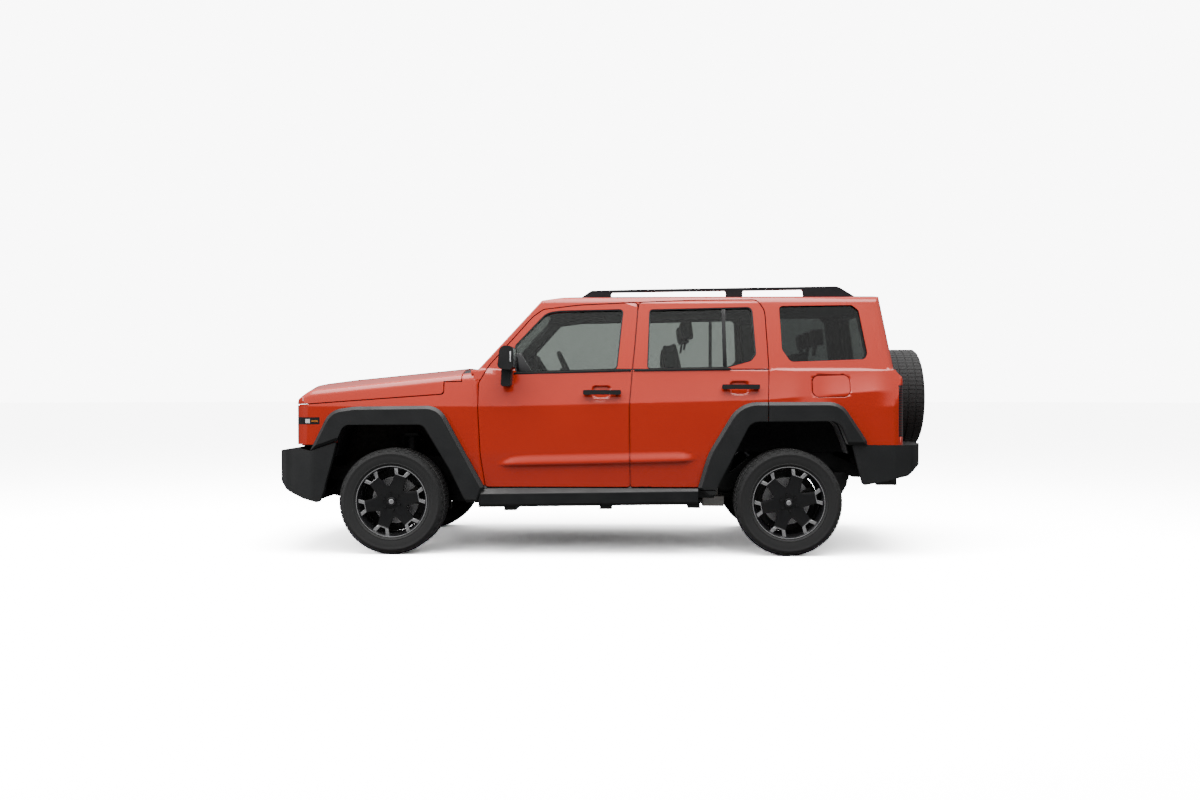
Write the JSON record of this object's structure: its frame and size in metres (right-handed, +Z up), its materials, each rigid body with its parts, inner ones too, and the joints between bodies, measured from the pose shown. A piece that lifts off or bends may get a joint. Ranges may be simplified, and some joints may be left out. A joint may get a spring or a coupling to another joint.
{
  "type": "off-road passenger car",
  "caption": "Boxy off-road 4x4 with opening side doors, side-hinged tailgate with spare wheel, bonnet, black arch mouldings, steps and roof rails.",
  "frame": {"origin": "on the ground under the middle of the overall length and width", "axes": "+X to the rear, +Y to the right-hand side, +Z up"},
  "size_m": [4.7375, 2.176, 1.8797],
  "materials": {
    "body_paint": "gloss orange-red paint",
    "glass_clear": "tinted clear glass",
    "glass_dark": "dark privacy glass",
    "black_plastic": "grained black polypropylene",
    "black_gloss": "gloss black",
    "lamp_clear": "clear lamp cover",
    "lamp_red": "smoked red lamp cover",
    "frame_steel": "black frame paint",
    "cast": "cast iron",
    "alloy": "black painted and machined alloy",
    "tyre": "tyre rubber",
    "trim": "soft-touch trim",
    "seat": "black leather",
    "bright": "steel",
    "under": "black underbody panel"
  },
  "bodies": {
    "vehicle": {"arch_flares": "black_plastic", "body_side_left": "body_paint", "body_side_right": "body_paint", "chassis_frame": "frame_steel", "coil_springs": "frame_steel", "cowl": "black_plastic", "dashboard": "trim", "driveline": "cast", "exhaust": "bright", "fixed_glass": "glass_clear", "floor_pan": "trim", "front_bumper": "black_plastic", "front_lamps": "lamp_clear", "front_seats": "seat", "front_wings": "body_paint", "fuel_tank": "under", "grille": "black_gloss", "powertrain": "cast", "rear_axle": "cast", "rear_bumper": "black_plastic", "rear_panel": "body_paint", "rear_seat": "seat", "roof": "body_paint", "roof_rails": "black_plastic", "side_steps": "black_plastic", "suspension_links": "frame_steel", "tail_lamps": "lamp_red", "tow_points": "frame_steel", "underguards": "under"},
    "front_door_left_body": {"front_door_left": "body_paint", "front_door_glass_left": "glass_clear", "front_door_fittings_left": "black_plastic"},
    "rear_door_left_body": {"rear_door_left": "body_paint", "rear_door_glass_left": "glass_clear", "rear_door_fittings_left": "black_plastic"},
    "steering_knuckle_left": {"knuckle_left": "cast"},
    "front_door_right_body": {"front_door_right": "body_paint", "front_door_glass_right": "glass_clear", "front_door_fittings_right": "black_plastic"},
    "rear_door_right_body": {"rear_door_right": "body_paint", "rear_door_glass_right": "glass_clear", "rear_door_fittings_right": "black_plastic"},
    "steering_knuckle_right": {"knuckle_right": "cast"},
    "tailgate_body": {"tailgate": "body_paint", "tailgate_glass": "glass_dark", "tailgate_fittings": "black_plastic", "spare_tyre": "tyre", "spare_rim": "alloy"},
    "bonnet_body": {"bonnet": "body_paint"},
    "fuel_flap_body": {"fuel_flap": "body_paint"},
    "steering_wheel_body": {"steering_wheel": "trim"},
    "wheel_front_left": {"tyre_front_left": "tyre", "rim_front_left": "alloy"},
    "wheel_front_right": {"tyre_front_right": "tyre", "rim_front_right": "alloy"},
    "wheel_rear_left": {"tyre_rear_left": "tyre", "rim_rear_left": "alloy"},
    "wheel_rear_right": {"tyre_rear_right": "tyre", "rim_rear_right": "alloy"}
  },
  "joints": [
    {"name": "steering_wheel_turn", "type": "hinge", "parent": "vehicle", "child": "steering_wheel_body", "pos_m": [-0.25, -0.37, 1.262], "axis": [0.9112, 0, 0.4121], "range_deg": [-480, 480]},
    {"name": "kingpin_left", "type": "hinge", "parent": "vehicle", "child": "steering_knuckle_left", "pos_m": [-1.45, -0.715, 0.368], "axis": [0, 0, 1], "range_deg": [-32.1, 32.1]},
    {"name": "kingpin_right", "type": "hinge", "parent": "vehicle", "child": "steering_knuckle_right", "pos_m": [-1.45, 0.715, 0.368], "axis": [0, 0, 1], "range_deg": [-32.1, 32.1]},
    {"name": "wheel_spin_front_left", "type": "hinge", "parent": "steering_knuckle_left", "child": "wheel_front_left", "pos_m": [-1.45, -0.804, 0.368], "axis": [0, 1, 0], "continuous": true},
    {"name": "wheel_spin_front_right", "type": "hinge", "parent": "steering_knuckle_right", "child": "wheel_front_right", "pos_m": [-1.45, 0.804, 0.368], "axis": [0, 1, 0], "continuous": true},
    {"name": "wheel_spin_rear_left", "type": "hinge", "parent": "vehicle", "child": "wheel_rear_left", "pos_m": [1.3, -0.804, 0.368], "axis": [0, 1, 0], "continuous": true},
    {"name": "wheel_spin_rear_right", "type": "hinge", "parent": "vehicle", "child": "wheel_rear_right", "pos_m": [1.3, 0.804, 0.368], "axis": [0, 1, 0], "continuous": true},
    {"name": "front_door_hinge_left", "type": "hinge", "parent": "vehicle", "child": "front_door_left_body", "pos_m": [-0.8435, -0.9245, 0.9], "axis": [0, 0, -1], "range_deg": [0, 68]},
    {"name": "rear_door_hinge_left", "type": "hinge", "parent": "vehicle", "child": "rear_door_left_body", "pos_m": [0.2005, -0.9245, 0.9], "axis": [0, 0, -1], "range_deg": [0, 68]},
    {"name": "front_door_hinge_right", "type": "hinge", "parent": "vehicle", "child": "front_door_right_body", "pos_m": [-0.8435, 0.9245, 0.9], "axis": [0, 0, 1], "range_deg": [0, 68]},
    {"name": "rear_door_hinge_right", "type": "hinge", "parent": "vehicle", "child": "rear_door_right_body", "pos_m": [0.2005, 0.9245, 0.9], "axis": [0, 0, 1], "range_deg": [0, 68]},
    {"name": "tailgate_hinge", "type": "hinge", "parent": "vehicle", "child": "tailgate_body", "pos_m": [2.107, 0.7065, 1.1], "axis": [0, 0, 1], "range_deg": [0, 92]},
    {"name": "bonnet_hinge", "type": "hinge", "parent": "vehicle", "child": "bonnet_body", "pos_m": [-0.966, 0, 1.284], "axis": [0, 1, 0], "range_deg": [0, 50]},
    {"name": "fuel_flap_hinge", "type": "hinge", "parent": "vehicle", "child": "fuel_flap_body", "pos_m": [1.4655, -0.9095, 1.096], "axis": [0, -0.2161, -0.9764], "range_deg": [0, 100]}
  ],
  "couplings": [
    {"joint": "kingpin_left", "follows": "steering_wheel_turn", "ratio": 0.066667},
    {"joint": "kingpin_right", "follows": "steering_wheel_turn", "ratio": 0.066667}
  ]
}
